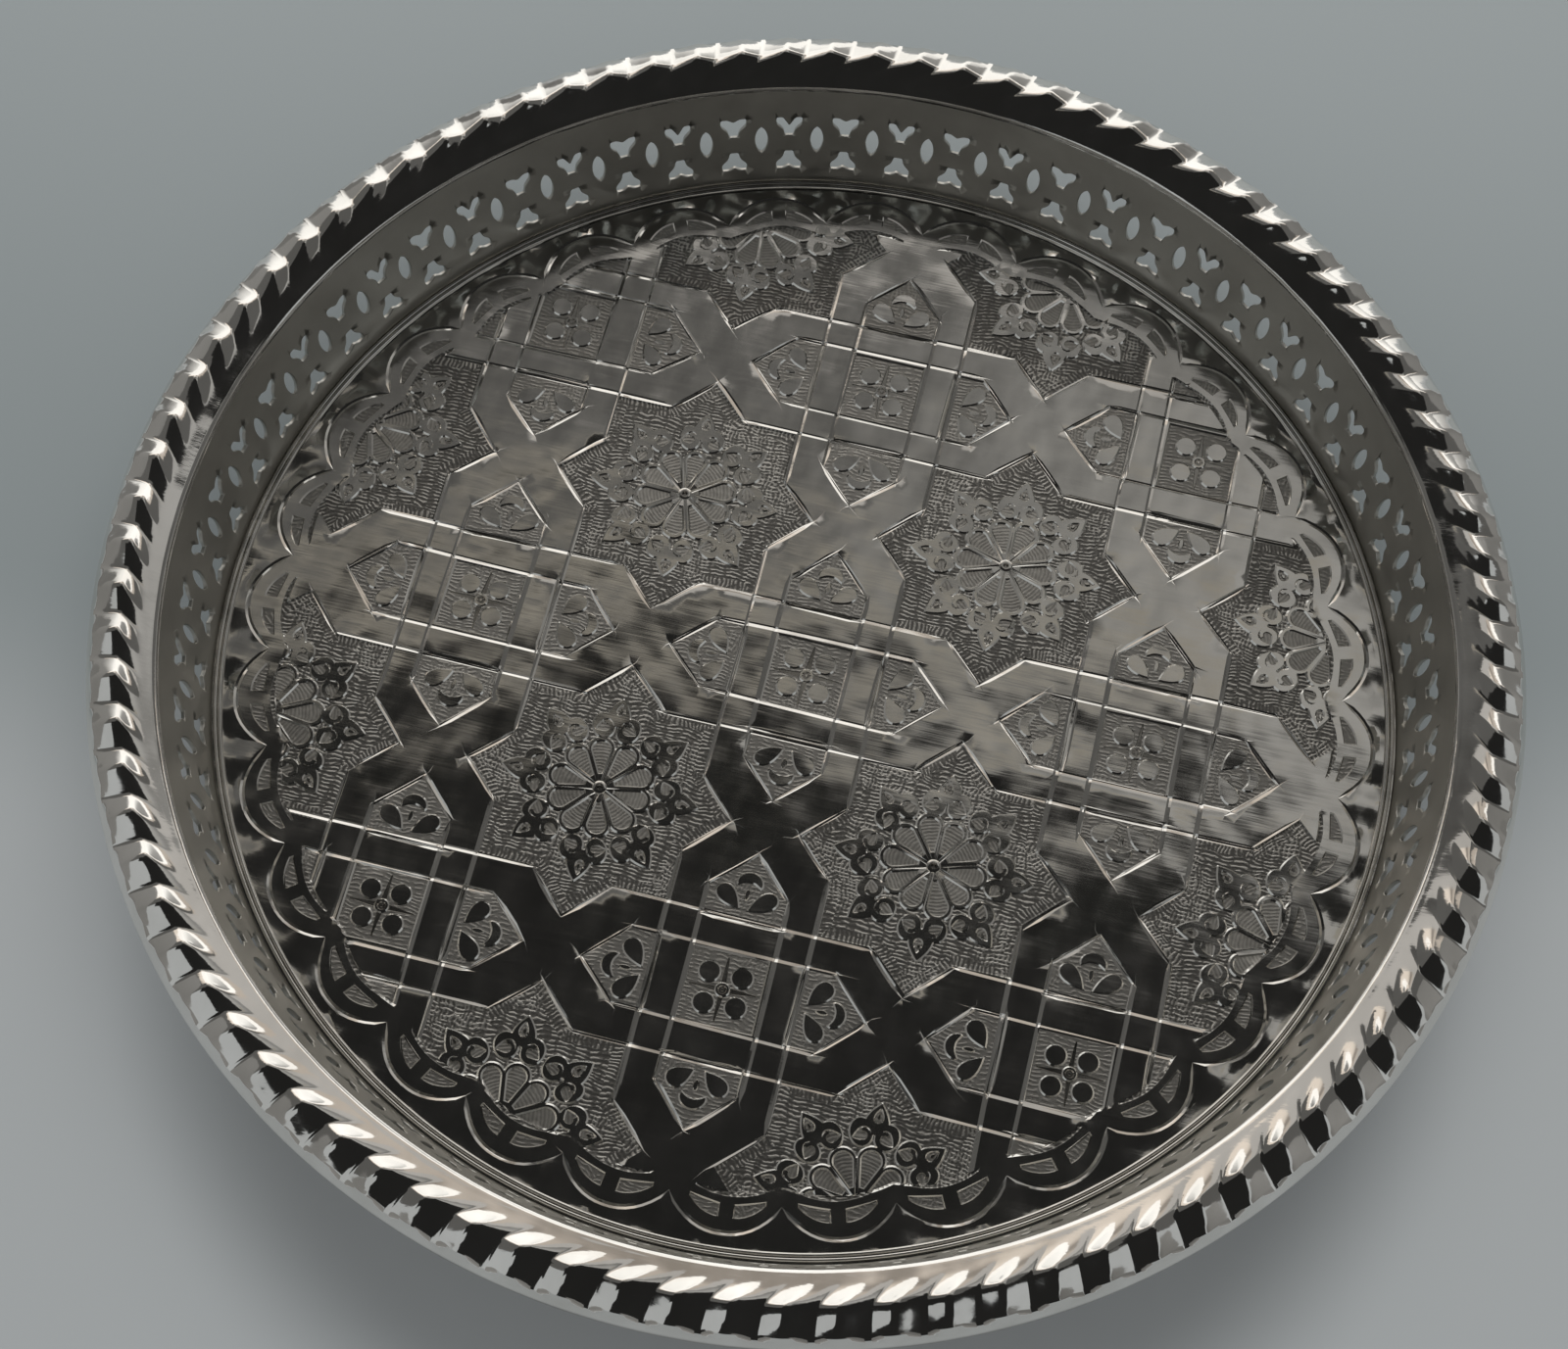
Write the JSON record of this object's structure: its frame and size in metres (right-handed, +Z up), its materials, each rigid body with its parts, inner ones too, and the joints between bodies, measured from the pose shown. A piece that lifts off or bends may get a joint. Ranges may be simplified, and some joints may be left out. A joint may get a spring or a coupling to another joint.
{
  "type": "serving tray",
  "caption": "Round silver-plated tea tray with a chased star-lattice floor, a pierced leaning gallery, a beaded foot and a gadrooned rim over a wired edge.",
  "frame": {"origin": "centre of the underside, on the surface that the tray rests on", "axes": "+Z up along the tray's axis of symmetry; the floor's lattice runs along X and Y"},
  "size_m": [0.3, 0.3, 0.0334],
  "materials": {
    "chased_silver": "silver plate, polished straps with matted and hatched panels",
    "gallery_silver": "silver plate, softly polished, slightly dulled",
    "bright_silver": "silver plate, mirror polished",
    "wire_steel": "drawn wire, plain"
  },
  "bodies": {
    "root": {"floor_plate": "chased_silver", "gallery_band": "gallery_silver", "foot_bead": "bright_silver", "gadroon_rim": "bright_silver", "rim_wire": "wire_steel"}
  },
  "joints": []
}
